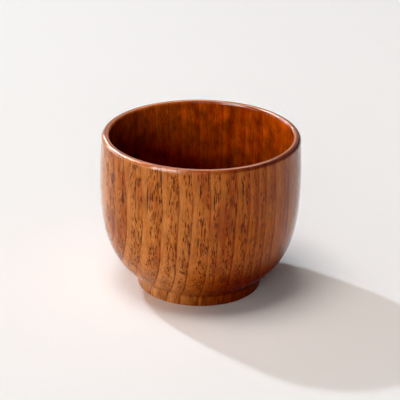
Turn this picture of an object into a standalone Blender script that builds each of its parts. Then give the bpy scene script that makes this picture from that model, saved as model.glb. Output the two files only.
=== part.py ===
"""A lacquered wooden tea cup, turned from one block on the Z axis.

The bowl and its foot are one piece of wood. Three cured lacquer coats cover it: one outside, one inside and
one in the recess under the foot. The bare standing ring of the foot rests on the table.
Metres, +Z up, with the origin at the middle of the foot, on the table.
"""
from math import cos, pi, radians, sin

import bpy
import numpy as np

# Finished size of the cup, over its lacquer
CUP_HEIGHT = 0.0640
BELLY_DIAMETER = 0.0800
BELLY_BELOW_LIP = 0.0167
LIP_DIAMETER = 0.0789

# Lip and walls
LIP_WALL = 0.0031
LIP_INNER_ROUND = 0.0011
BELLY_WALL = 0.0036
BASE_THICKNESS = 0.0070

# Foot
FOOT_DIAMETER = 0.0500
FOOT_TOP_DIAMETER = 0.0514
FOOT_HEIGHT = 0.0050
FOOT_RING_WIDTH = 0.0045
FOOT_EDGE_ROUND = 0.0004
FOOT_COVE = 0.0010
RECESS_DEPTH = 0.0022
RECESS_FILLET = 0.0012

# Lacquer, and the clearance between a coat and what it lies on or meets
LACQUER_FILM = 0.0002
COAT_CLEARANCE = 0.0003

# Shape of the curves, as shares of the height or width that each one spans
LIP_LEAN = 0.25
LIP_RUN = 0.30
SHOULDER_FULLNESS = 0.40
BELLY_FULLNESS = 0.545
FOOT_FULLNESS = 0.75
BOWL_SLOPE_AT_FOOT = radians(39)
INSIDE_BELLY_FULLNESS = 0.76
INSIDE_FLOOR_FULLNESS = 0.80

# Facets
TURN_STEPS = 48
MERGE_DISTANCE = 0.00001

# Places that the sizes above fix
BELLY_RADIUS = BELLY_DIAMETER / 2
BELLY_Z = CUP_HEIGHT - BELLY_BELOW_LIP
LIP_RADIUS = LIP_DIAMETER / 2
LIP_OUTER_ROUND = LIP_WALL - LIP_INNER_ROUND - COAT_CLEARANCE
LIP_INSIDE_RADIUS = LIP_RADIUS - LIP_WALL
INSIDE_BELLY_RADIUS = BELLY_RADIUS - BELLY_WALL
INSIDE_FLOOR_Z = RECESS_DEPTH + BASE_THICKNESS
FOOT_RADIUS = FOOT_DIAMETER / 2
RECESS_RADIUS = FOOT_RADIUS - FOOT_RING_WIDTH
COAT_BUILD = LACQUER_FILM + COAT_CLEARANCE


def clear_scene():
    for thing in list(bpy.data.objects):
        bpy.data.objects.remove(thing, do_unlink=True)


def bezier(start, start_handle, end_handle, end, pieces):
    """Points along a cubic curve, with both ends."""
    t = np.linspace(0.0, 1.0, pieces + 1)[:, None]
    weights = ((1 - t) ** 3, 3 * t * (1 - t) ** 2, 3 * t ** 2 * (1 - t), t ** 3)
    corners = (start, start_handle, end_handle, end)
    return sum(weight * np.array(corner) for weight, corner in zip(weights, corners))


def arc(centre, radius, start, end, pieces):
    """Points along a circular arc, with both ends, from one angle to another."""
    angle = np.linspace(start, end, pieces + 1)
    return np.column_stack((centre[0] + radius * np.cos(angle), centre[1] + radius * np.sin(angle)))


def joined(*stretches):
    """Stretches of one line, end to end, each shared end point kept once."""
    return np.vstack([stretches[0]] + [stretch[1:] for stretch in stretches[1:]])


def parallel(line, distance):
    """The line moved into the wood, on its right, by a distance, with mitred corners.

    Points on the turning axis stay on it.
    """
    along = np.diff(line, axis=0)
    along /= np.linalg.norm(along, axis=1)[:, None]
    sideways = np.column_stack((along[:, 1], -along[:, 0]))
    before = np.vstack((sideways[:1], sideways))
    after = np.vstack((sideways, sideways[-1:]))
    mitre = before + after
    mitre /= np.sum(mitre * before, axis=1)[:, None]
    moved = line + distance * mitre
    moved[line[:, 0] == 0.0, 0] = 0.0
    return moved


def inside_line():
    """Finished inside of the bowl, from the middle of its floor up to the crest of the lip."""
    drop = BELLY_Z - INSIDE_FLOOR_Z
    bowl = bezier(
        (0.0, INSIDE_FLOOR_Z),
        (INSIDE_FLOOR_FULLNESS * INSIDE_BELLY_RADIUS, INSIDE_FLOOR_Z),
        (INSIDE_BELLY_RADIUS, BELLY_Z - INSIDE_BELLY_FULLNESS * drop),
        (INSIDE_BELLY_RADIUS, BELLY_Z),
        9,
    )
    round_z = CUP_HEIGHT - LIP_INNER_ROUND
    rise = round_z - BELLY_Z
    draw_in = INSIDE_BELLY_RADIUS - LIP_INSIDE_RADIUS
    shoulder = bezier(
        (INSIDE_BELLY_RADIUS, BELLY_Z),
        (INSIDE_BELLY_RADIUS, BELLY_Z + SHOULDER_FULLNESS * rise),
        (LIP_INSIDE_RADIUS + LIP_LEAN * draw_in, round_z - LIP_RUN * rise),
        (LIP_INSIDE_RADIUS, round_z),
        3,
    )
    edge = arc((LIP_INSIDE_RADIUS + LIP_INNER_ROUND, round_z), LIP_INNER_ROUND, pi, pi / 2, 3)
    return joined(bowl, shoulder, edge)


def outside_line():
    """Finished outside of the cup, from the crest of the lip down to the edge of the standing ring."""
    round_z = CUP_HEIGHT - LIP_OUTER_ROUND
    lip = arc((LIP_RADIUS - LIP_OUTER_ROUND, round_z), LIP_OUTER_ROUND, pi / 2, 0.0, 4)
    drop = round_z - BELLY_Z
    swell = BELLY_RADIUS - LIP_RADIUS
    shoulder = bezier(
        (LIP_RADIUS, round_z),
        (LIP_RADIUS + LIP_LEAN * swell, round_z - LIP_RUN * drop),
        (BELLY_RADIUS, BELLY_Z + SHOULDER_FULLNESS * drop),
        (BELLY_RADIUS, BELLY_Z),
        3,
    )
    neck = np.array((FOOT_TOP_DIAMETER / 2, FOOT_HEIGHT))
    toe = np.array((FOOT_RADIUS, FOOT_EDGE_ROUND))
    slope = np.array((cos(BOWL_SLOPE_AT_FOOT), sin(BOWL_SLOPE_AT_FOOT)))
    cove_start = neck + FOOT_COVE * slope
    cove_end = neck + FOOT_COVE * (toe - neck) / np.linalg.norm(toe - neck)
    reach = FOOT_FULLNESS * (BELLY_RADIUS - neck[0]) / slope[0]
    bowl = bezier(
        (BELLY_RADIUS, BELLY_Z),
        (BELLY_RADIUS, BELLY_Z - BELLY_FULLNESS * (BELLY_Z - FOOT_HEIGHT)),
        cove_start + reach * slope,
        cove_start,
        10,
    )
    cove = bezier(cove_start, (cove_start + 2 * neck) / 3, (cove_end + 2 * neck) / 3, cove_end, 3)
    return joined(lip, shoulder, bowl, cove, np.array((cove_end, toe)))


def recess_line():
    """Finished recess under the foot, from the edge of the standing ring in to the middle."""
    corner = (RECESS_RADIUS - RECESS_FILLET, RECESS_DEPTH - RECESS_FILLET)
    fillet = arc(corner, RECESS_FILLET, 0.0, pi / 2, 3)
    edge = np.array(((RECESS_RADIUS, FOOT_EDGE_ROUND), fillet[0]))
    middle = np.array((fillet[-1], (0.0, RECESS_DEPTH)))
    return joined(edge, fillet, middle)


def wood_outline():
    """The bare wood under its coats, from the inside floor over the lip and foot to the recess."""
    bowl = parallel(np.vstack((inside_line(), outside_line())), COAT_BUILD)
    recess = parallel(recess_line(), COAT_BUILD)
    outer_edge = arc((bowl[-1, 0] - FOOT_EDGE_ROUND, FOOT_EDGE_ROUND), FOOT_EDGE_ROUND, 0.0, -pi / 2, 2)
    inner_edge = arc((recess[0, 0] + FOOT_EDGE_ROUND, FOOT_EDGE_ROUND), FOOT_EDGE_ROUND, 1.5 * pi, pi, 2)
    return np.vstack((bowl, outer_edge[1:], inner_edge, recess[1:]))


def coat_faces():
    """The three coats as pairs of lines: the finished face and the back, which lies towards the wood."""
    inside = inside_line()
    outside = outside_line()
    back = parallel(np.vstack((inside, outside)), LACQUER_FILM)
    recess = recess_line()
    return {
        "inner": (inside, back[:len(inside)]),
        "outer": (outside, back[len(inside):]),
        "recess": (recess, parallel(recess, LACQUER_FILM)),
    }


def principled(name, colour, roughness, coat=0.0):
    material = bpy.data.materials.new(name)
    material.use_nodes = True
    shader = material.node_tree.nodes["Principled BSDF"]
    shader.inputs["Base Color"].default_value = (*colour, 1.0)
    shader.inputs["Roughness"].default_value = roughness
    shader.inputs["Metallic"].default_value = 0.0
    shader.inputs["Coat Weight"].default_value = coat
    return material


def turned(name, outline, is_loop, material, collection, axis):
    """A piece turned from its outline, which runs down the piece's outer side."""
    points = [(radius, 0.0, height) for radius, height in outline]
    edges = [(i, i + 1) for i in range(len(points) - 1)]
    if is_loop:
        edges.append((len(points) - 1, 0))
    mesh = bpy.data.meshes.new(name)
    mesh.from_pydata(points, edges, [])
    mesh.materials.append(material)
    piece = bpy.data.objects.new(name, mesh)
    collection.objects.link(piece)
    piece.parent = axis
    screw = piece.modifiers.new("turning", "SCREW")
    screw.axis = "Z"
    screw.angle = 2 * pi
    screw.steps = TURN_STEPS
    screw.render_steps = TURN_STEPS
    screw.use_smooth_shade = True
    screw.use_merge_vertices = True
    screw.merge_threshold = MERGE_DISTANCE
    return piece


def build_cup():
    clear_scene()
    cup = bpy.data.collections.new("lacquered_wooden_cup")
    bpy.context.scene.collection.children.link(cup)
    axis = bpy.data.objects.new("turning_axis", None)
    cup.objects.link(axis)

    wood = principled("jujube wood", (0.42, 0.16, 0.055), 0.45)
    amber = principled("outer amber lacquer", (0.46, 0.18, 0.06), 0.16, coat=1.0)
    deep_amber = principled("inner amber lacquer", (0.40, 0.13, 0.035), 0.16, coat=1.0)
    thin_amber = principled("recess amber lacquer", (0.44, 0.17, 0.06), 0.22, coat=1.0)

    coats = coat_faces()
    face, back = coats["outer"]
    outer_coat = np.vstack((face, back[::-1]))
    face, back = coats["inner"]
    inner_coat = np.vstack((face, back[::-1]))
    face, back = coats["recess"]
    recess_coat = np.vstack((back[::-1], face))

    turned("turned_wood_body", wood_outline(), False, wood, cup, axis)
    turned("outer_lacquer_coat", outer_coat, True, amber, cup, axis)
    turned("inner_lacquer_coat", inner_coat, False, deep_amber, cup, axis)
    turned("recess_lacquer_coat", recess_coat, False, thin_amber, cup, axis)


build_cup()
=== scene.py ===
# %% [markdown]
# # A lacquered wooden tea cup
# The cup is turned from one block of wood, so its growth rings run through bowl, lip and foot alike. A
# clear amber lacquer covers it outside, inside and in the recess under the foot, and only the ring that
# it stands on is bare. The solids of the cup are already made and packed. This lesson gives each of
# them its finished surface, then lights it on a pale table. Lengths are in metres unless a name says
# otherwise.

# %% The packed solids
from math import atan2, cos, pi, radians, sin
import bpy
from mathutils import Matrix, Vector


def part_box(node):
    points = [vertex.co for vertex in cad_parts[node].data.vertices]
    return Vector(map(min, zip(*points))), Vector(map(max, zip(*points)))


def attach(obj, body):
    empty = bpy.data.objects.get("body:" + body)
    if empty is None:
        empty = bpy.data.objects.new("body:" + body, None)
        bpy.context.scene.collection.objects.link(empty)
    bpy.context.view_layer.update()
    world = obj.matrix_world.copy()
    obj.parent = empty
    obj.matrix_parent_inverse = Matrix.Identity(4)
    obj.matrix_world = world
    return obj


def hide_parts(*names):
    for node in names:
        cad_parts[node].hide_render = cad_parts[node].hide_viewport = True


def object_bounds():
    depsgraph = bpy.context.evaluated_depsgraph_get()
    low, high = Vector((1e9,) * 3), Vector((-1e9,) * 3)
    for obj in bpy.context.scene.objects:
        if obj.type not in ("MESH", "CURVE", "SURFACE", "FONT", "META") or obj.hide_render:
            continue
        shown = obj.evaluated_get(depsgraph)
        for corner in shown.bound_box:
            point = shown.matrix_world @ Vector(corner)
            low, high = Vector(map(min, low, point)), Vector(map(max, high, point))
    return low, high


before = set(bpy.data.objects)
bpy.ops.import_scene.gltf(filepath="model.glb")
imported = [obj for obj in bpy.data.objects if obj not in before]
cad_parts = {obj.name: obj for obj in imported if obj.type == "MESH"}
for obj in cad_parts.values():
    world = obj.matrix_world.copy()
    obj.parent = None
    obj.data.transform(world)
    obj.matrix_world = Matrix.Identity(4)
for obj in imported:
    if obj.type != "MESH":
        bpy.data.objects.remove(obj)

from types import SimpleNamespace

import bmesh
import bpy
import numpy as np
from mathutils import Matrix, Quaternion, Vector

solid_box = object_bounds()
print("solids:", sorted(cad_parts), "box", [tuple(corner) for corner in solid_box])

# %% [markdown]
# ## The camera
# The camera comes first, because every later choice is judged through it. The outline of a turned cup
# fixes its own view: the mouth is a circle, so the flatness of its ellipse gives the height of the eye,
# and the foot's narrower ellipse gives the distance. A long lens from 0.72 m away fits both. The
# picture leans by about one degree, so the camera is rolled by as much, and it looks a little above the
# middle of the cup, as the framing does.

# %% Camera
PHOTO_SIDE = 400
CUP_MIDDLE_PIXEL = (200.1, 207.3)
SENSOR_WIDTH_MM = 36.0
LENS_MM = 161.2
CAMERA_DISTANCE = 0.72
CAMERA_ELEVATION = radians(23.75)
CAMERA_ROLL = radians(0.98)

cup_height = solid_box[1].z - solid_box[0].z
cup_middle = Vector((0.0, 0.0, cup_height / 2))
focal_pixels = LENS_MM / SENSOR_WIDTH_MM * PHOTO_SIDE
to_camera = Vector((0.0, -cos(CAMERA_ELEVATION), sin(CAMERA_ELEVATION)))
aim = to_camera.to_track_quat("Z", "Y").to_matrix().to_4x4()
pan = Matrix.Rotation(atan2(CUP_MIDDLE_PIXEL[0] - PHOTO_SIDE / 2, focal_pixels), 4, "Y")
tilt = Matrix.Rotation(atan2(CUP_MIDDLE_PIXEL[1] - PHOTO_SIDE / 2, focal_pixels), 4, "X")
roll = Matrix.Rotation(CAMERA_ROLL, 4, "Z")

camera_data = bpy.data.cameras.new("camera")
camera_data.sensor_width = SENSOR_WIDTH_MM
camera_data.lens = LENS_MM
camera = bpy.data.objects.new("camera", camera_data)
bpy.context.scene.collection.objects.link(camera)
stand = Matrix.Translation(cup_middle + CAMERA_DISTANCE * to_camera)
camera.matrix_world = stand @ aim @ roll @ tilt @ pan
bpy.context.scene.camera = camera
print("camera at", tuple(round(v, 4) for v in camera.location), "lens", LENS_MM)

# %% [markdown]
# ## The lines that the cup is turned from
# A turner works to three lines: the inside of the bowl, the outside with its foot, and the recess
# underneath. Each is a chain of smooth curves, so it could be drawn by hand with a curve object. Here
# the lines are worked out as arrays of radius and height, because the same arrays then give the
# lacquer's face, its back and the wood below.

# %% Sizes of the turned lines
cup_top = solid_box[1].z
belly_radius = solid_box[1].x
BELLY_BELOW_LIP = 0.0167
LIP_RADIUS = 0.03945
LIP_WALL = 0.0031
LIP_INNER_ROUND = 0.0011
LIP_FLAT = 0.0003
BELLY_WALL = 0.0036
BASE_THICKNESS = 0.0070
FOOT_RADIUS = 0.0250
FOOT_TOP_RADIUS = 0.0257
FOOT_HEIGHT = 0.0050
FOOT_RING_WIDTH = 0.0045
FOOT_COVE = 0.0010
RECESS_DEPTH = 0.0022
RECESS_FILLET = 0.0012
foot_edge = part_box("outer_lacquer_coat")[0].z
belly_z = cup_top - BELLY_BELOW_LIP
floor_z = RECESS_DEPTH + BASE_THICKNESS
lip_outer_round = LIP_WALL - LIP_INNER_ROUND - LIP_FLAT
lip_crest_radius = LIP_RADIUS - lip_outer_round - LIP_FLAT / 2
print("belly", belly_radius, "at", belly_z, "lip crest", lip_crest_radius, "foot edge", foot_edge)


# %% Curves and arcs
def bezier(corners, pieces):
    """A cubic curve: corners weighted by (1-t)^3, 3t(1-t)^2, 3t^2(1-t) and t^3 as t goes from 0 to 1."""
    t = np.linspace(0.0, 1.0, pieces + 1)[:, None]
    weights = ((1 - t) ** 3, 3 * t * (1 - t) ** 2, 3 * t ** 2 * (1 - t), t ** 3)
    return sum(weight * np.array(corner) for weight, corner in zip(weights, corners))


def arc(centre, radius, start, end, pieces):
    """Part of a circle: centre plus radius times (cos a, sin a) as the angle a goes from start to end."""
    a = np.linspace(start, end, pieces + 1)
    return np.array(centre) + radius * np.column_stack((np.cos(a), np.sin(a)))


def straight(start, end, pieces):
    """Points evenly along a straight stretch: (1-t) times its start plus t times its end."""
    t = np.linspace(0.0, 1.0, pieces + 1)[:, None]
    return (1 - t) * np.array(start) + t * np.array(end)


def joined(*stretches):
    """Stretches end to end, with each shared end point kept once."""
    return np.vstack([stretches[0]] + [stretch[1:] for stretch in stretches[1:]])


print("half a circle of radius 1 ends at", arc((0.0, 0.0), 1.0, 0.0, pi, 8)[-1].round(6))

# %% Inside of the bowl
LIP_LEAN = 0.25
LIP_RUN = 0.30
SHOULDER_FULLNESS = 0.40
SHOULDER_STEPS = 12
INSIDE_BELLY_FULLNESS = 0.76
INSIDE_FLOOR_FULLNESS = 0.80
INSIDE_BOWL_STEPS = 40
INNER_ROUND_STEPS = 10


def inside_line():
    """From the middle of the floor up to the crest of the lip: a bowl, a shoulder, a round and a flat."""
    radius = belly_radius - BELLY_WALL
    lip = LIP_RADIUS - LIP_WALL
    round_z = cup_top - LIP_INNER_ROUND
    drop = belly_z - floor_z
    rise = round_z - belly_z
    bowl = bezier((
        (0.0, floor_z),
        (INSIDE_FLOOR_FULLNESS * radius, floor_z),
        (radius, belly_z - INSIDE_BELLY_FULLNESS * drop),
        (radius, belly_z),
    ), INSIDE_BOWL_STEPS)
    shoulder = bezier((
        (radius, belly_z),
        (radius, belly_z + SHOULDER_FULLNESS * rise),
        (lip + LIP_LEAN * (radius - lip), round_z - LIP_RUN * rise),
        (lip, round_z),
    ), SHOULDER_STEPS)
    centre = (lip + LIP_INNER_ROUND, round_z)
    inner_round = arc(centre, LIP_INNER_ROUND, pi, pi / 2, INNER_ROUND_STEPS)
    flat = straight(inner_round[-1], (lip_crest_radius, cup_top), 1)
    return joined(bowl, shoulder, inner_round, flat)


inside = inside_line()
print("inside line of", len(inside), "points, its floor at", floor_z)

# %% Outside of the cup
BELLY_FULLNESS = 0.545
FOOT_FULLNESS = 0.75
BOWL_SLOPE_AT_FOOT = radians(39)
OUTER_ROUND_STEPS = 18
OUTSIDE_BOWL_STEPS = 44
COVE_STEPS = 8
FOOT_WALL_STEPS = 6


def outside_line():
    """From the crest of the lip down to the foot's edge.

    It is a flat, a round, a shoulder, a bowl, a cove and a wall. The bowl runs into the cove along the
    slope at the foot. The cove bends round the neck: its two handles lie two thirds of the way from its
    ends to the neck.
    """
    round_z = cup_top - lip_outer_round
    drop = round_z - belly_z
    centre = (LIP_RADIUS - lip_outer_round, round_z)
    outer_round = arc(centre, lip_outer_round, pi / 2, 0.0, OUTER_ROUND_STEPS)
    flat = straight((lip_crest_radius, cup_top), outer_round[0], 1)
    shoulder = bezier((
        (LIP_RADIUS, round_z),
        (LIP_RADIUS + LIP_LEAN * (belly_radius - LIP_RADIUS), round_z - LIP_RUN * drop),
        (belly_radius, belly_z + SHOULDER_FULLNESS * drop),
        (belly_radius, belly_z),
    ), SHOULDER_STEPS)
    neck = np.array((FOOT_TOP_RADIUS, FOOT_HEIGHT))
    toe = np.array((FOOT_RADIUS, foot_edge))
    slope = np.array((cos(BOWL_SLOPE_AT_FOOT), sin(BOWL_SLOPE_AT_FOOT)))
    cove_start = neck + FOOT_COVE * slope
    cove_end = neck + FOOT_COVE * (toe - neck) / np.linalg.norm(toe - neck)
    reach = FOOT_FULLNESS * (belly_radius - neck[0]) / slope[0]
    bowl = bezier((
        (belly_radius, belly_z),
        (belly_radius, belly_z - BELLY_FULLNESS * (belly_z - FOOT_HEIGHT)),
        cove_start + reach * slope,
        cove_start,
    ), OUTSIDE_BOWL_STEPS)
    handles = (cove_start + 2 * neck) / 3, (cove_end + 2 * neck) / 3
    cove = bezier((cove_start, *handles, cove_end), COVE_STEPS)
    return joined(flat, outer_round, shoulder, bowl, cove, straight(cove_end, toe, FOOT_WALL_STEPS))


outside = outside_line()
print("outside line of", len(outside), "points, widest", outside[:, 0].max())

# %% Recess under the foot
RECESS_WALL_STEPS = 2
RECESS_FILLET_STEPS = 8
RECESS_CEILING_STEPS = 10


def recess_line():
    """From the standing ring up the recess's wall, round its fillet and in to the middle."""
    radius = FOOT_RADIUS - FOOT_RING_WIDTH
    centre = (radius - RECESS_FILLET, RECESS_DEPTH - RECESS_FILLET)
    fillet = arc(centre, RECESS_FILLET, 0.0, pi / 2, RECESS_FILLET_STEPS)
    wall = straight((radius, foot_edge), fillet[0], RECESS_WALL_STEPS)
    ceiling = straight(fillet[-1], (0.0, RECESS_DEPTH), RECESS_CEILING_STEPS)
    return joined(wall, fillet, ceiling)


recess = recess_line()
print("recess line of", len(recess), "points, radius", recess[0, 0])

# %% [markdown]
# ## Turning a line into a surface
# On the lathe every point of a line becomes a circle. Blender's Screw modifier does that, but working
# the surface out as a grid keeps full control of its rows: rows follow the line, columns go round the
# axis, and where a row lies on the axis its points are merged into one, which closes the pole.

# %% Lathe
TURNS = 240
MERGE_DISTANCE = 1e-6
CREASE_ANGLE = radians(35)


def turned(name, outline, is_loop):
    """A surface of revolution: point (r, z) goes to (r sin a, -r cos a, z) for each angle a of a turn."""
    a = np.arange(TURNS) * 2 * pi / TURNS
    r, z = outline[:, :1], outline[:, 1:]
    points = np.stack((r * np.sin(a), -r * np.cos(a), z + 0 * a), axis=-1).reshape(-1, 3)
    upper = np.arange(len(points)).reshape(len(outline), TURNS)
    lower = np.roll(upper, -1, axis=0)
    if not is_loop:
        upper, lower = upper[:-1], lower[:-1]
    quads = np.stack((upper, lower, np.roll(lower, -1, axis=1), np.roll(upper, -1, axis=1)), axis=-1)
    mesh = bpy.data.meshes.new(name)
    mesh.from_pydata(points.tolist(), [], quads.reshape(-1, 4).tolist())
    shape = bmesh.new()
    shape.from_mesh(mesh)
    bmesh.ops.remove_doubles(shape, verts=shape.verts, dist=MERGE_DISTANCE)
    shape.to_mesh(mesh)
    shape.free()
    mesh.shade_smooth()
    mesh.set_sharp_from_angle(angle=CREASE_ANGLE)
    piece = bpy.data.objects.new(name, mesh)
    bpy.context.scene.collection.objects.link(piece)
    print(name, "has", len(mesh.polygons), "faces")
    return piece


# %% [markdown]
# ## The lacquer coats and the wood
# Lacquer is a film: it has a face that shows and a back that lies on the wood. A Solidify modifier
# could thicken one face, but the wood needs the back as a line of its own, so the back is the face's
# line moved inwards. The outer and the inner coat meet on the small flat at the crest of the lip, where
# both are level, so no line shows there. The wood fills the space behind all three coats and comes out
# at the foot as the bare ring, with its two edges rounded over.

# %% Lacquer coats
LACQUER_FILM = 0.0002


def parallel(line, distance):
    """The line moved to its right, towards the wood: each point goes along the mitre of its two normals.

    A point on the turning axis stays on it.
    """
    along = np.diff(line, axis=0)
    along /= np.linalg.norm(along, axis=1)[:, None]
    sideways = np.column_stack((along[:, 1], -along[:, 0]))
    before = np.vstack((sideways[:1], sideways))
    after = np.vstack((sideways, sideways[-1:]))
    mitre = before + after
    mitre /= np.sum(mitre * before, axis=1)[:, None]
    moved = line + distance * mitre
    moved[line[:, 0] == 0.0, 0] = 0.0
    return moved


both_back = parallel(np.vstack((inside, outside[1:])), LACQUER_FILM)
inside_back, outside_back = both_back[:len(inside)], both_back[len(inside) - 1:]
recess_back = parallel(recess, LACQUER_FILM)
outer_coat = turned("outer_lacquer", np.vstack((outside, outside_back[::-1])), True)
inner_coat = turned("inner_lacquer", np.vstack((inside, inside_back[::-1])), False)
recess_coat = turned("recess_lacquer", np.vstack((recess_back[::-1], recess)), False)

# %% Wood
RING_EDGE_STEPS = 6

outer_toe, inner_toe = outside_back[-1, 0], recess_back[0, 0]
outer_edge = arc((outer_toe - foot_edge, foot_edge), foot_edge, 0.0, -pi / 2, RING_EDGE_STEPS)
inner_edge = arc((inner_toe + foot_edge, foot_edge), foot_edge, 1.5 * pi, pi, RING_EDGE_STEPS)
wood_outline = np.vstack((both_back, outer_edge[1:], inner_edge, recess_back[1:]))
wood_body = turned("wood_body", wood_outline, False)
print("standing ring from", inner_edge[0, 0], "to", outer_edge[-1, 0])


# %% [markdown]
# ## A short way to write shader nodes
# A finish is a small calculation that is repeated at every point of a surface. Blender writes it as
# nodes. Placing them by hand is fine for five of them but hard to read for fifty, so this class lets
# plain Python arithmetic add the Math nodes, and one method adds any other node with its settings and
# sockets.

# %% Wires
MM_PER_METRE = 1000.0
NOISE_MIDDLE = 0.5


class Wire:
    """One output of a node. Arithmetic on wires adds Math nodes; node() adds any other kind."""

    def __init__(self, tree, socket=None):
        self.tree = tree
        self.socket = socket

    def node(self, kind, settings=None, sockets=None, out=0):
        """A new node: first its settings, such as a ramp's stops, then its sockets' values or wires."""
        made = self.tree.nodes.new(kind)
        for key, value in (settings or {}).items():
            if key == "stops":
                self._set_stops(made.color_ramp, value)
            else:
                setattr(made, key, value)
        for key, value in (sockets or {}).items():
            if isinstance(value, Wire):
                self.tree.links.new(value.socket, made.inputs[key])
            else:
                made.inputs[key].default_value = value
        return Wire(self.tree, made.outputs[out])

    @staticmethod
    def _set_stops(ramp, stops):
        """Give a ramp hard stops, each a position and a colour."""
        ramp.interpolation = "CONSTANT"
        while len(ramp.elements) > 1:
            ramp.elements.remove(ramp.elements[-1])
        ramp.elements[0].position = stops[0][0]
        for position, _ in stops[1:]:
            ramp.elements.new(position)
        for element, (_, colour) in zip(ramp.elements, stops):
            element.color = colour

    def maths(self, operation, *values):
        """A Math node on numbers and wires."""
        return self.node("ShaderNodeMath", {"operation": operation}, dict(enumerate(values)))

    def __add__(self, other):
        return self.maths("ADD", self, other)

    def __sub__(self, other):
        return self.maths("SUBTRACT", self, other)

    def __rsub__(self, other):
        return self.maths("SUBTRACT", other, self)

    def __mul__(self, other):
        return self.maths("MULTIPLY", self, other)

    def __truediv__(self, other):
        return self.maths("DIVIDE", self, other)

    __radd__ = __add__
    __rmul__ = __mul__

    def rise(self, low, high):
        """0 below low and 1 above high, with a smooth step between; low may be the greater of the two."""
        sockets = {"Value": self, "From Min": low, "From Max": high}
        return self.node("ShaderNodeMapRange", {"interpolation_type": "SMOOTHSTEP"}, sockets)

    def part(self, index):
        """One of the three numbers of a vector or colour."""
        return self.node("ShaderNodeSeparateXYZ", sockets={0: self}, out=index)

    def also(self, out):
        """Another output of the same node."""
        return Wire(self.tree, self.socket.node.outputs[out])

    def vector(self, operation, other=(0.0, 0.0, 0.0), out=0):
        """Vector arithmetic with a vector or a wire."""
        return self.node("ShaderNodeVectorMath", {"operation": operation}, {0: self, 1: other}, out)

    def scaled(self, amount):
        """A vector or colour made longer or brighter by a number or wire."""
        return self.node("ShaderNodeVectorMath", {"operation": "SCALE"}, {0: self, "Scale": amount})

    def stretched(self, across, along):
        """The place counted in cells of this width across the grain and this length along it."""
        return self.vector("MULTIPLY", (1 / across, 1 / across, 1 / along))

    def noise(self, detail=2.0, roughness=0.5):
        """Soft random values, about 0.5, that change over one cell."""
        sockets = {"Vector": self, "Scale": 1.0, "Detail": detail, "Roughness": roughness}
        return self.node("ShaderNodeTexNoise", sockets=sockets)

    def swing(self):
        """A noise moved to lie about 0."""
        return self - NOISE_MIDDLE

    def blend(self, first, second):
        """The first colour where this wire is 0 and the second where it is 1.

        A Mix node has its factor at socket 0, its colours at 6 and 7, and the mixed colour at output 2.
        """
        return self.node("ShaderNodeMix", {"data_type": "RGBA"}, {0: self, 6: first, 7: second}, out=2)

    def bump(self, strength):
        """The surface's direction, tilted as if this wire were its height in millimetres."""
        sockets = {"Height": self, "Distance": 1 / MM_PER_METRE, "Strength": strength}
        return self.node("ShaderNodeBump", sockets=sockets, out="Normal")


print("a wire can be used with", [name for name in vars(Wire) if not name.startswith("_")])

# %% [markdown]
# ## The wood
# The wood is ring-porous: each year starts pale and smooth and ends in a dark line, with open pores on
# the way. The rings are nearly flat sheets through the block. They could be painted on, but the lines
# would then break at the lip and the foot. A solid pattern, worked out in space, runs over the lip,
# down the inside and through the foot as it does in real wood. The rings' edges are listed in
# millimetres across the block, from the cup's left to its right, with how light each ring is and how
# strong its closing line. A colour ramp with hard stops looks them up, because its four channels can
# carry a ring's start, width, lightness and line.

# %% Growth rings
RINGS = (
    (-39.2, 0.95, 0.6), (-34.9, 0.00, 0.8), (-30.2, 0.90, 0.3), (-24.5, 0.65, 0.8),
    (-17.0, 0.60, 0.8), (-10.8, 0.70, 0.7), (-6.0, 0.45, 0.5), (1.5, 0.80, 0.7), (5.3, 0.15, 0.7),
    (11.2, 0.50, 0.5), (16.3, 0.40, 0.6), (19.7, 0.45, 0.7), (23.0, 0.35, 0.6), (27.0, 0.50, 0.7),
    (32.7, 0.45, 0.6), (38.0, 0.50, 0.5),
)
RINGS_END_MM = 44.0
RING_WIDTH_LIMIT_MM = 16.0

rings_start_mm = RINGS[0][0]
rings_span_mm = RINGS_END_MM - rings_start_mm
ring_ends_mm = [ring[0] for ring in RINGS[1:]] + [RINGS_END_MM]
ring_stops = [
    ((start - rings_start_mm) / rings_span_mm,
     ((start - rings_start_mm) / rings_span_mm, (end - start) / RING_WIDTH_LIMIT_MM, lightness, line))
    for (start, lightness, line), end in zip(RINGS, ring_ends_mm)
]
print(len(ring_stops), "growth rings across", rings_span_mm, "mm")

# %% The ring at a place
RING_TURN = radians(4)
RING_SWEEP_PER_MM = 0.0018
RING_SWEEP_MIDDLE_MM = 46.0
WANDER_CELL_MM = (14.0, 45.0)
WANDER_MM = 2.6
TREMBLE_CELL_MM = (1.1, 7.0)
TREMBLE_MM = 0.7
# Sapwood turns to heartwood across this span. The heartwood's darker colour on the right is partly
# painted shade.
HEART_AND_SHADE_MM = (-18.0, 16.0)
LINE_EDGES_MM = (0.60, 0.10)
LINE_LEAST = 0.25
CLEARER_MM = (52.0, 24.0)
CLEARER_LINE = 0.35
UNBROKEN_CELL_MM = (1.5, 9.0)
UNBROKEN = (0.36, 0.56)
UNBROKEN_LINE = 0.6


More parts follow.
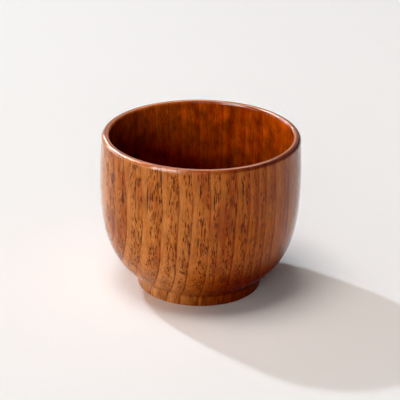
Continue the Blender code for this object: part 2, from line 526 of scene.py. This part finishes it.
def growth_rings(mm):
    """The ring at a place: its age from 0 to 1, closing line, lightness and share of heartwood, which
    also carries painted shade on the cup's right.

    The distance across the rings is x turned a little towards y, plus a sweep with the square of the
    height, a slow wander and a fine tremble. The line is dark just before the ring ends. It is clearer
    low on the cup and stronger where a noise leaves it unbroken.
    """
    x, y, z = (mm.part(i) for i in range(3))
    height = z - RING_SWEEP_MIDDLE_MM
    sweep = height * height * RING_SWEEP_PER_MM
    wander = mm.stretched(*WANDER_CELL_MM).noise(1.0).swing() * WANDER_MM
    tremble = mm.stretched(*TREMBLE_CELL_MM).noise().swing() * TREMBLE_MM
    across = x * cos(RING_TURN) + y * sin(RING_TURN) + sweep + wander + tremble
    share = (across - rings_start_mm) / rings_span_mm
    ring = share.node("ShaderNodeValToRGB", {"stops": ring_stops}, {0: share})
    start = ring.part(0) * rings_span_mm + rings_start_mm
    width = ring.part(1) * RING_WIDTH_LIMIT_MM
    age = ((across - start) / width).rise(0.0, 1.0)
    clear = LINE_LEAST + z.rise(*CLEARER_MM) * CLEARER_LINE
    unbroken = mm.stretched(*UNBROKEN_CELL_MM).noise().rise(*UNBROKEN) * UNBROKEN_LINE
    line = (start + width - across).rise(*LINE_EDGES_MM) * ring.also("Alpha") * (clear + unbroken)
    return age, line, ring.part(2), across.rise(*HEART_AND_SHADE_MM)


print("sapwood turns to heartwood from", HEART_AND_SHADE_MM[0], "to", HEART_AND_SHADE_MM[1], "mm across")

# %% [markdown]
# ## Pores, veins and flecks
# A pore is a fine tube along the trunk. Where the wall follows the trunk it shows as a long dash, and
# where the bowl curves under, the same tube is cut across and shows as a dot. Dashes and dots could be
# drawn one by one, but long cells in space give both from one pattern, here in two lengths. They drift
# sideways a little from one side of the cup to the other. Thin veins lie between them, where a noise
# crosses its middle value. The few long black flecks are old checks in the wood. These are placed one
# by one, by their angle round the cup in degrees, and their height and length in millimetres.

# %% Pores
DRIFT_MM = (1.5, 1.5, 0.0)
CROWD_AGES = (0.10, 0.42)
CROWD_BY_AGE = 0.85
PATCH_CELL_MM = (3.0, 14.0)
CROWD_PATCHES = (0.30, 0.70)
CROWD_BY_PATCH = 0.35
CROWD_START = 0.18
LONG_PORE_CELL_MM = (0.80, 9.0)
LONG_PORE_REACH = 0.08
LONG_PORE_GROWTH = 0.20
SHORT_PORE_CELL_MM = (0.95, 4.0)
SHORT_PORE_REACH = 0.04
SHORT_PORE_GROWTH = 0.26
PORE_SOFTNESS = 0.07

outside_low_mm = tuple(MM_PER_METRE * v for v in (-belly_radius, -belly_radius, foot_edge))
outside_size = (2 * belly_radius, 2 * belly_radius, cup_top - foot_edge)
outside_span_mm = tuple(MM_PER_METRE * v for v in outside_size)


def drifted(mm):
    """The place moved sideways by a slow noise that has one cell for the whole outside of the cup."""
    cell = mm.vector("SUBTRACT", outside_low_mm).vector("DIVIDE", outside_span_mm)
    return mm.vector("ADD", cell.noise(1.0).also("Color").vector("MULTIPLY", DRIFT_MM))


def crowding(mm, age):
    """How close pores and veins lie, from 0 to 1: closer as the ring ages, and closer in some patches."""
    by_age = age.rise(*CROWD_AGES) * CROWD_BY_AGE
    by_patch = mm.stretched(*PATCH_CELL_MM).noise(1.0).rise(*CROWD_PATCHES) * CROWD_BY_PATCH
    return (by_age + by_patch - CROWD_START).rise(0.0, 1.0)


def dashes(place, cell, reach):
    """1 near the middles of long cells, where the distance to one, in cells, is under the reach."""
    cells = place.stretched(*cell)
    sockets = {"Vector": cells, "Scale": 1.0}
    near = cells.node("ShaderNodeTexVoronoi", {"feature": "F1"}, sockets, out="Distance")
    return near.rise(reach + PORE_SOFTNESS, reach - PORE_SOFTNESS)


def pore_mask(place, crowd):
    """1 in a pore, long or short. Pores are thicker where they crowd."""
    long_pores = dashes(place, LONG_PORE_CELL_MM, LONG_PORE_REACH + crowd * LONG_PORE_GROWTH)
    short_pores = dashes(place, SHORT_PORE_CELL_MM, SHORT_PORE_REACH + crowd * SHORT_PORE_GROWTH)
    return long_pores.maths("MAXIMUM", long_pores, short_pores)


print("pore cells of", LONG_PORE_CELL_MM, "and", SHORT_PORE_CELL_MM, "mm")

# %% Veins
VEIN_CELL_MM = (1.2, 4.8)
VEIN_EDGES = (0.065, 0.015)
VEIN_LEAST = 0.25
VEIN_BY_CROWD = 0.75
VEIN_BREAK_CELL_MM = (1.2, 3.0)
VEIN_WHOLE = (0.42, 0.55)


def vein_mask(mm, place, crowd):
    """1 in a vein: near the middle of a noise, more among crowded pores, and broken by another noise."""
    slope = place.stretched(*VEIN_CELL_MM).noise().swing()
    whole = mm.stretched(*VEIN_BREAK_CELL_MM).noise(1.0).rise(*VEIN_WHOLE)
    return slope.maths("ABSOLUTE", slope).rise(*VEIN_EDGES) * (VEIN_LEAST + crowd * VEIN_BY_CROWD) * whole


print("vein cells of", VEIN_CELL_MM, "mm")

# %% Flecks
FLECKS = (
    (-57.8, 54.0, 11.0), (-48.5, 48.0, 5.0), (-30.2, 50.5, 9.5), (-23.9, 56.5, 4.0), (-22.2, 60.0, 4.6),
    (7.8, 51.8, 5.0), (0.2, 56.0, 5.5), (-0.8, 34.6, 4.2), (24.0, 57.0, 3.0),
    (150.0, 46.0, 6.0), (205.0, 30.0, 5.0), (110.0, 40.0, 5.0),
)
FLECK_WIDTH_MM = 0.30
FLECK_TAPER = 0.7
FLECK_EDGES = (1.25, 0.55)


def fleck_mask(mm):
    """1 in a fleck: long thin ellipsoids whose middles lie on the outside of the cup."""
    mask = 0.0
    for angle, height, length in FLECKS:
        radius = np.interp(-height / MM_PER_METRE, -outside[:, 1], outside[:, 0]) * MM_PER_METRE
        middle = (radius * sin(radians(angle)), -radius * cos(radians(angle)), height)
        far = mm.vector("SUBTRACT", middle).stretched(FLECK_WIDTH_MM, length * FLECK_TAPER)
        mask = far.vector("LENGTH", out="Value").rise(*FLECK_EDGES) + mask
    return mask


print(len(FLECKS), "flecks, the longest", max(length for _, _, length in FLECKS), "mm")

# %% [markdown]
# ## Lacquered and bare wood
# Under the lacquer the wood looks wet: deep, warm and saturated. A ring goes from pale orange to
# red-brown as it ages, with fine fibres, tan streaks and red patches over it. Sapwood on the cup's left
# is paler than the heartwood on its right, whose pores are better filled, and part of that darkness on
# the right is painted shade. Under the bowl the trunk is cut across, which deepens the heartwood's end
# grain. The darkening there on the right is also partly painted shade, and a paler, bluer lift on the
# left is a painted sheen. The foot is turned smooth: its pores are mostly filled, and broad streaks
# show. Its left is brightened by painted light and sheen, and its right darkened by painted shade. The
# lip has a dark crest and a pale inner edge, which is a painted highlight. It is darkest on its right,
# partly as heartwood and partly as painted shade. Each of these could be a material of its own, but
# they run into each other, so one wood is blended by where a point lies.
#
# The lacquer is the shader's clear coat over a faint amber gloss. A see-through film would be closer to
# the real one, but the light inside it is slow to render and can't be baked. The coat is full on the
# lip, where lacquer builds up, fuller on the two sides than on the front, thin inside, and left off low
# on the heartwood, where the cup shows no gloss. The colour inside gets deeper and redder towards the
# bottom and the left. Some of that is pooled lacquer, and some is shade that soft lamps don't give by
# themselves. The bare ring has the same wood without the coat.

# %% Where a point lies on the cup
LIP_FULL_SHARE = 0.3
LIP_MM = (
    MM_PER_METRE * (cup_top - lip_outer_round),
    MM_PER_METRE * (cup_top - LIP_FULL_SHARE * lip_outer_round),
)
FOOT_MM = (MM_PER_METRE * FOOT_HEIGHT + 1.0, MM_PER_METRE * FOOT_HEIGHT - 0.5)
END_GRAIN_FACING = (0.05, 0.60)


def place_on_cup(tree):
    """A point's place in mm, its x, z and distance from the axis, and masks of lip, foot and end grain.

    End grain is where the surface looks up or down, across the trunk.
    """
    start = Wire(tree)
    mm = start.node("ShaderNodeTexCoord", out="Object").scaled(MM_PER_METRE)
    upward = start.node("ShaderNodeTexCoord", out="Normal").part(2)
    x, z = mm.part(0), mm.part(2)
    return SimpleNamespace(
        mm=mm,
        x=x,
        z=z,
        radius=mm.vector("MULTIPLY", (1.0, 1.0, 0.0)).vector("LENGTH", out="Value"),
        lip=z.rise(*LIP_MM),
        foot=z.rise(*FOOT_MM),
        end_grain=upward.maths("ABSOLUTE", upward).rise(*END_GRAIN_FACING),
    )


print("lip between", LIP_MM, "mm, foot between", FOOT_MM, "mm")

# %% Grain at a place
LIP_FILLS = 0.9
CALM_MM = (16.0, 32.0)
CALM_FILLS = 0.5
LOW_MM = (5.0, 15.0)
LOW_OPEN = 0.35
FIBRE_CELL_MM = (0.28, 9.0)
FIBRE_DETAIL = 3.0
FIBRE_BREAKS = 0.6
STREAK_CELL_MM = (1.3, 40.0)
FIBRE_HEIGHT_MM = 0.012
PORE_DEPTH_MM = 0.05
VEIN_DEPTH_MM = 0.02
FLECK_DEPTH_MM = 0.08
LINE_DEPTH_MM = 0.01


def grain_at(spot, strength):
    """The grain at a place on the cup: its ring, its masks, its fibres and streaks, and its relief in mm.

    Lacquer fills pores and veins: most on the lip, and also on the right and low down.
    """
    age, line, lightness, heart_and_shade = growth_rings(spot.mm)
    crowd = crowding(spot.mm, age)
    place = drifted(spot.mm)
    lip_open = 1 - spot.lip * LIP_FILLS
    right_open = 1 - spot.x.rise(*CALM_MM) * CALM_FILLS
    low_open = LOW_OPEN + spot.z.rise(*LOW_MM) * (1 - LOW_OPEN)
    still_open = lip_open * strength * right_open * low_open
    pores = pore_mask(place, crowd) * still_open
    veins = vein_mask(spot.mm, place, crowd) * still_open
    line = line * strength
    flecks = fleck_mask(spot.mm)
    fibres = spot.mm.stretched(*FIBRE_CELL_MM).noise(FIBRE_DETAIL, FIBRE_BREAKS)
    relief = fibres * FIBRE_HEIGHT_MM - pores * PORE_DEPTH_MM - veins * VEIN_DEPTH_MM
    relief = relief - flecks * FLECK_DEPTH_MM - line * LINE_DEPTH_MM
    return SimpleNamespace(
        age=age,
        lightness=lightness,
        heart_and_shade=heart_and_shade,
        line=line,
        pores=pores,
        veins=veins,
        flecks=flecks,
        fibres=fibres,
        streaks=spot.mm.stretched(*STREAK_CELL_MM).noise(),
        strength=strength,
        relief=relief,
    )


print("deepest hollow", FLECK_DEPTH_MM, "mm, under a fleck")

# %% Colours of the wall
PALE = (0.56, 0.185, 0.032, 1.0)
WARM = (0.41, 0.098, 0.005, 1.0)
WARM_BY_AGE = 0.5
WARM_BY_RING = 0.75
WARM_BY_STREAK = 1.4
WARM_START = 0.12
RED = (0.33, 0.056, 0.004, 1.0)
RED_CELL_MM = (7.0, 22.0)
RED_PATCHES = (0.46, 0.70)
RED_SHARE = 0.6
TAN = (0.53, 0.205, 0.042, 1.0)
TAN_CELL_MM = (1.8, 16.0)
TAN_STREAKS = (0.47, 0.63)
TAN_SHARE = 0.55
FIBRE_CONTRAST = 1.20
FIGURE_CELL_MM = (4.5, 5.5)
FIGURE_DETAIL = 3.0
HEART_AND_SHADE = (0.85, 0.64, 0.22)
LINE = (0.16, 0.024, 0.001, 1.0)
LINE_SHARE = 0.85
VEIN = (0.18, 0.030, 0.001, 1.0)
VEIN_SHARE = 0.88
PORE = (0.10, 0.014, 0.001, 1.0)
PORE_SHARE = 0.92
BLACK = (0.026, 0.014, 0.007, 1.0)


def wall_colour(spot, grain, blotches):
    """Pale to warm wood with red patches, tan streaks, fibres and a figure, then heartwood with painted
    shade, and the marks.

    Blotches is how strong the figure is. The marks are the ring's line, veins, pores and flecks.
    """
    by_age = grain.age * WARM_BY_AGE
    by_ring = (1 - grain.lightness) * WARM_BY_RING
    warmth = by_age + by_ring + grain.streaks.swing() * WARM_BY_STREAK - WARM_START
    red = spot.mm.stretched(*RED_CELL_MM).noise().rise(*RED_PATCHES) * RED_SHARE
    tan = spot.mm.stretched(*TAN_CELL_MM).noise().rise(*TAN_STREAKS) * TAN_SHARE
    colour = warmth.rise(0.0, 1.0).blend(PALE, WARM)
    colour = tan.blend(red.blend(colour, RED), TAN)
    fibre_light = 1.0 + grain.fibres.swing() * FIBRE_CONTRAST * grain.strength
    figure_light = 1.0 + spot.mm.stretched(*FIGURE_CELL_MM).noise(FIGURE_DETAIL).swing() * blotches
    colour = colour.scaled(fibre_light * figure_light)
    # Heartwood darkens the right: partly the wood's own colour, partly painted shade.
    colour = grain.heart_and_shade.blend(colour, colour.vector("MULTIPLY", HEART_AND_SHADE))
    colour = (grain.line * LINE_SHARE).blend(colour, LINE)
    colour = (grain.veins * VEIN_SHARE).blend(colour, VEIN)
    colour = (grain.pores * PORE_SHARE).blend(colour, PORE)
    return grain.flecks.blend(colour, BLACK)


print("wall from", PALE[:3], "to", WARM[:3], "with heartwood at", HEART_AND_SHADE, "of that")

# %% Colours of end grain, foot and lip
# Where the trunk is cut across, the sap side's paler, bluer lift is a painted sheen. The heart side's
# darkening under the bowl is partly end grain and partly painted shade.
SAP_END_GRAIN_AND_SHEEN = (1.00, 1.08, 1.25, 1.0)
HEART_END_GRAIN_AND_SHADE = (0.34, 0.10, 0.01, 1.0)
# On the foot, the left's brighter, bluer colour is painted light and sheen. The right's darkening under
# the bowl is painted shade.
SAP_FOOT_AND_SHEEN = (1.22, 1.60, 3.00, 1.0)
HEART_FOOT_AND_SHADE = (0.47, 0.25, 0.01, 1.0)
FOOT_STREAKS = 2.0
# The lip darkens towards the cup's right: partly heartwood, partly painted shade.
SAP_LIP = (0.90, 0.70, 0.60, 1.0)
HEART_LIP_AND_SHADE = (0.30, 0.15, 0.08, 1.0)
LIP_SIDES_MM = (0.0, 26.0)
CREST = (0.25, 0.055, 0.022, 1.0)
# The pale inner edge of the lip is a painted highlight.
PALE_EDGE_HIGHLIGHT = (0.62, 0.20, 0.055, 1.0)
LIP_EDGE_SHARE = 0.8

crest_mm = MM_PER_METRE * lip_crest_radius
CREST_MM = (crest_mm + 1.1, crest_mm + 0.5)
PALE_EDGE_HIGHLIGHT_MM = (crest_mm + 0.2, crest_mm - 0.2)


def body_colour(spot, grain, colour):
    """The wall's colour, changed where the trunk is cut across and, with broad streaks, on the foot:
    painted sheen on the left, heartwood and painted shade on the right.
    """
    end_grain_sheen_and_shade = colour.vector("MULTIPLY", grain.heart_and_shade.blend(SAP_END_GRAIN_AND_SHEEN, HEART_END_GRAIN_AND_SHADE))
    colour = spot.end_grain.blend(colour, end_grain_sheen_and_shade)
    streaky = 1.0 + grain.streaks.swing() * FOOT_STREAKS
    on_foot = colour.vector("MULTIPLY", grain.heart_and_shade.blend(SAP_FOOT_AND_SHEEN, HEART_FOOT_AND_SHADE)).scaled(streaky)
    return spot.foot.blend(colour, on_foot)


def lip_colour(spot, colour):
    """The wall's colour, darker towards the right as heartwood and painted shade, then the crest and,
    inside it, the pale edge, a painted highlight.
    """
    colour = colour.vector("MULTIPLY", spot.x.rise(*LIP_SIDES_MM).blend(SAP_LIP, HEART_LIP_AND_SHADE))
    colour = (spot.radius.rise(*CREST_MM) * LIP_EDGE_SHARE).blend(colour, CREST)
    return (spot.radius.rise(*PALE_EDGE_HIGHLIGHT_MM) * LIP_EDGE_SHARE).blend(colour, PALE_EDGE_HIGHLIGHT)


print("crest of the lip at a radius of", crest_mm, "mm")

# %% Wood as a material
INNER_EDGE_MM = (crest_mm - 1.0, crest_mm - 0.6)
# The inside darkens towards the bottom and, through the tilt, towards the left: partly pooled lacquer,
# partly painted shade.
DEPTH_MM = (58.0, 32.0)
DEPTH_TILT = 0.5


def wood(name, tint_at_lip, tint_at_floor, strength, blotches):
    """A new material with the solid wood in it, and the wires that a finish is made from.

    The tint goes from the lip's to the floor's as a point lies deeper, or further left, in the cup:
    partly pooled lacquer and partly painted shade. The lip's own colour reaches as far in as its inner
    edge.
    """
    material = bpy.data.materials.new(name)
    material.use_nodes = True
    spot = place_on_cup(material.node_tree)
    grain = grain_at(spot, strength)
    wall = wall_colour(spot, grain, blotches)
    tint = (spot.z + spot.x * DEPTH_TILT).rise(*DEPTH_MM).blend(tint_at_lip, tint_at_floor)
    body = body_colour(spot, grain, wall).vector("MULTIPLY", tint)
    colour = (spot.lip * spot.radius.rise(*INNER_EDGE_MM)).blend(body, lip_colour(spot, wall))
    return SimpleNamespace(material=material, spot=spot, grain=grain, colour=colour)


def finished(made, wires):
    """The made wood's shader, with each wire linked to the socket that it is listed under."""
    tree = made.material.node_tree
    shader = tree.nodes["Principled BSDF"]
    for socket, wire in wires.items():
        tree.links.new(wire.socket, shader.inputs[socket])
    return shader


print("the tint deepens from", DEPTH_MM[0], "to", DEPTH_MM[1], "mm")

# %% Lacquered wood
CLEAR = (1.0, 1.0, 1.0, 1.0)
AMBER_GLOSS = (0.30, 0.13, 0.05, 1.0)
WOOD_IOR = 1.05
COAT_IOR = 1.35
COAT_ROUGHNESS = 0.06
LACQUERED_BUMP = 0.8
SMOOTH = 0.22
PORE_ROUGHNESS = 0.22
FIBRE_ROUGHNESS = 0.08
COAT_LOST_IN_PORES = 0.45
RIGHT_SIDE_MM = (17.0, 37.0)
LEFT_SIDE_MM = (-28.0, -39.0)
SIDE_GAIN = 0.8
DULL_HEART = (0.05, 0.45)
DULL_MM = (26.0, 14.0)


def lacquered_wood(name, tint_at_lip=CLEAR, tint_at_floor=CLEAR, strength=1.0, blotches=0.6, film=0.55):
    """Wood under a clear coat. The wood's own gloss is soft and faint, the coat's is sharp.

    The coat's weight is the film's, more on the sides and none low on the heartwood, and 1 on the lip.
    Open pores take part of it away.
    """
    made = wood(name, tint_at_lip, tint_at_floor, strength, blotches)
    spot, grain = made.spot, made.grain
    sides = (spot.x.rise(*RIGHT_SIDE_MM) + spot.x.rise(*LEFT_SIDE_MM)) * (1 - spot.lip)
    dull = grain.heart_and_shade.rise(*DULL_HEART) * spot.z.rise(*DULL_MM)
    glossy = (1 - dull) * (1 + sides * SIDE_GAIN)
    shader = finished(made, {
        "Base Color": made.colour,
        "Normal": grain.relief.bump(LACQUERED_BUMP),
        "Roughness": SMOOTH + grain.pores * PORE_ROUGHNESS + grain.fibres * FIBRE_ROUGHNESS,
        "Coat Weight": (glossy * film + spot.lip * (1 - film)) * (1.0 - grain.pores * COAT_LOST_IN_PORES),
    })
    shader.inputs["IOR"].default_value = WOOD_IOR
    shader.inputs["Specular Tint"].default_value = AMBER_GLOSS
    shader.inputs["Coat IOR"].default_value = COAT_IOR
    shader.inputs["Coat Roughness"].default_value = COAT_ROUGHNESS
    print(name, "has", len(made.material.node_tree.nodes), "nodes")
    return made.material


# %% Bare wood
BARE_BUMP = 1.0
BARE_SPECULAR = 0.3
SANDED = 0.62
SANDED_FIBRES = 0.2


def bare_wood(name, strength=1.0, blotches=0.6):
    """The same wood, sanded and uncoated."""
    made = wood(name, CLEAR, CLEAR, strength, blotches)
    shader = finished(made, {
        "Base Color": made.colour,
        "Normal": made.grain.relief.bump(BARE_BUMP),
        "Roughness": SANDED + made.grain.fibres * SANDED_FIBRES,
    })
    shader.inputs["Specular IOR Level"].default_value = BARE_SPECULAR
    print(name, "has", len(made.material.node_tree.nodes), "nodes")
    return made.material


# %% Finishes on the pieces
# The inside tint runs from lip to floor. Its darkening deep down and on the left is partly pooled lacquer
# and partly painted shade.
INSIDE_TOP = (1.24, 0.76, 0.27, 1.0)
INSIDE_BOTTOM = (0.26, 0.018, 0.003, 1.0)

inside_finish = lacquered_wood(
    "inside lacquered wood", INSIDE_TOP, INSIDE_BOTTOM, strength=0.45, blotches=2.2, film=0.15,
)
outer_coat.data.materials.append(lacquered_wood("outside lacquered wood"))
inner_coat.data.materials.append(inside_finish)
recess_coat.data.materials.append(lacquered_wood("recess lacquered wood"))
wood_body.data.materials.append(bare_wood("bare wood"))
for piece, node, slot in (
    (outer_coat, "outer_lacquer_coat", "outer_lacquer"),
    (inner_coat, "inner_lacquer_coat", "inner_lacquer"),
    (recess_coat, "recess_lacquer_coat", "recess_lacquer"),
    (wood_body, "turned_wood_body", "wood"),
):
    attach(piece, "root")
    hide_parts(node)
    print(piece.name, "stands for", node)

# %% [markdown]
# ## The table
# The cup stands on a wide, pale, matt table. A curved backdrop would do as well, but the camera looks
# down far enough to see nothing but the table, so one flat square is all that is needed.

# %% Table
TABLE_SIDE = 6.0
TABLE_COLOUR = (0.942, 0.936, 0.94, 1.0)
TABLE_ROUGHNESS = 0.9
TABLE_SPECULAR = 0.1

half = TABLE_SIDE / 2
table_corners = [(-half, -half, 0), (half, -half, 0), (half, half, 0), (-half, half, 0)]
table_mesh = bpy.data.meshes.new("table")
table_mesh.from_pydata(table_corners, [], [(0, 1, 2, 3)])
table = bpy.data.objects.new("table", table_mesh)
bpy.context.scene.collection.objects.link(table)
table_material = bpy.data.materials.new("pale table")
table_material.use_nodes = True
table_shader = table_material.node_tree.nodes["Principled BSDF"]
table_shader.inputs["Base Color"].default_value = TABLE_COLOUR
table_shader.inputs["Roughness"].default_value = TABLE_ROUGHNESS
table_shader.inputs["Specular IOR Level"].default_value = TABLE_SPECULAR
table_mesh.materials.append(table_material)
print("table", TABLE_SIDE, "m wide")

# %% [markdown]
# ## The light
# A small, cool window lamp at the cup's back left throws the shadow to the right and forward. A warm,
# soft ceiling lights the table, and three weak warm fills stand for the rest of the room. The gloss
# could show these same lamps, but then one place would have to serve both the shadow and the bright
# line on the lip. So the window and the ceiling are hidden from the gloss, and cards that the gloss
# alone sees take their place: a long, narrow window and its edge for the line on the lip, the others
# for pale walls, with a warm one behind.

# %% Softbox
LAMP_DISTANCE = 3.0


def softbox(name, direction, width, height, level, colour, turn=0.0):
    """A flat lamp that shines on the cup from a direction: level 1 lights a white card there to white."""
    lamp = bpy.data.lights.new(name, "AREA")
    lamp.shape = "RECTANGLE"
    lamp.size = width
    lamp.size_y = height
    lamp.energy = level * pi ** 2 * LAMP_DISTANCE ** 2
    lamp.color = colour
    box = bpy.data.objects.new(name, lamp)
    toward = Vector(direction).normalized()
    box.location = cup_middle + LAMP_DISTANCE * toward
    box.rotation_mode = "QUATERNION"
    box.rotation_quaternion = toward.to_track_quat("Z", "Y") @ Quaternion((0.0, 0.0, 1.0), turn)
    bpy.context.scene.collection.objects.link(box)
    print(name, "at", tuple(round(v, 2) for v in box.location), "power", round(lamp.energy, 1))
    return box


# %% Window, ceiling and fills
DAYLIGHT = (0.79, 0.915, 1.0)
ROOM_FILL = (1.0, 0.925, 0.87)

lamps = (
    softbox("sunny window", (-0.553, 0.516, 0.653), 0.14, 0.14, 0.41, DAYLIGHT),
    softbox("ceiling", (-0.19, -0.08, 1.0), 1.4, 1.4, 0.57, ROOM_FILL),
)
for lamp in lamps:
    lamp.visible_glossy = False
softbox("left window", (-0.90, 0.25, 0.24), 2.0, 0.8, 0.12, ROOM_FILL)
softbox("front left", (-0.90, -0.42, 0.16), 1.6, 0.8, 0.26, ROOM_FILL)
softbox("front", (-0.12, -0.90, 0.44), 1.8, 0.9, 0.25, ROOM_FILL)

# %% Cards for the gloss
WARM_WALL = (1.0, 0.66, 0.48)

cards = (
    softbox("window card", (-0.54, 0.49, 0.69), 2.1, 0.12, 1.70, ROOM_FILL, radians(37)),
    softbox("window edge card", (-0.355, 0.857, 0.375), 0.05, 0.70, 0.25, ROOM_FILL),
    softbox("left card", (-0.86, 0.42, 0.22), 2.0, 0.9, 0.45, ROOM_FILL),
    softbox("front left card", (-0.59, -0.47, 0.65), 1.6, 0.45, 1.30, ROOM_FILL, radians(52)),
    softbox("low card", (-0.61, -0.76, 0.20), 1.6, 0.8, 1.20, ROOM_FILL),
    softbox("back card", (-0.10, 0.64, 0.77), 2.4, 1.2, 1.15, WARM_WALL),
    softbox("top card", (-0.40, -0.29, 0.87), 1.4, 1.0, 1.00, ROOM_FILL),
)
for card in cards:
    card.visible_diffuse = False

# %% [markdown]
# ## The room
# Beyond the lamps the room is dim, and it would look black in the lacquer. A model of its walls would
# mend that, but a world that knows which ray asks is simpler: it hardly lights the cup, and to the
# camera and the gloss it shows a pale wall, low and on the left, that fades into shade.

# %% Room
ROOM_LIGHT = 0.02
ROOM_COLOUR = (1.0, 0.985, 0.965, 1.0)
WALL_BRIGHTNESS = 0.80
SHADE_BRIGHTNESS = 0.20
WALL_TOP = (0.75, 0.30)
WALL_RIGHT_END = (0.6, -0.4)
SEEN_BY = ("Is Camera Ray", "Is Glossy Ray", "Is Transmission Ray")

world = bpy.data.worlds.new("room")
bpy.context.scene.world = world
world.use_nodes = True
room = Wire(world.node_tree)
seen = sum(room.node("ShaderNodeLightPath", out=kind) for kind in SEEN_BY).rise(0.0, 1.0)
outward = room.node("ShaderNodeTexCoord", out="Generated")
wall = outward.part(2).rise(*WALL_TOP) * outward.part(0).rise(*WALL_RIGHT_END)
brightness = SHADE_BRIGHTNESS + wall * (WALL_BRIGHTNESS - SHADE_BRIGHTNESS)
room_strength = ROOM_LIGHT + seen * (brightness - ROOM_LIGHT)
world_shader = world.node_tree.nodes["Background"]
world.node_tree.links.new(room_strength.socket, world_shader.inputs["Strength"])
world_shader.inputs["Color"].default_value = ROOM_COLOUR
bpy.context.scene.view_settings.view_transform = "Standard"
print("room seen at", SHADE_BRIGHTNESS, "to", WALL_BRIGHTNESS, "and lighting at", ROOM_LIGHT)
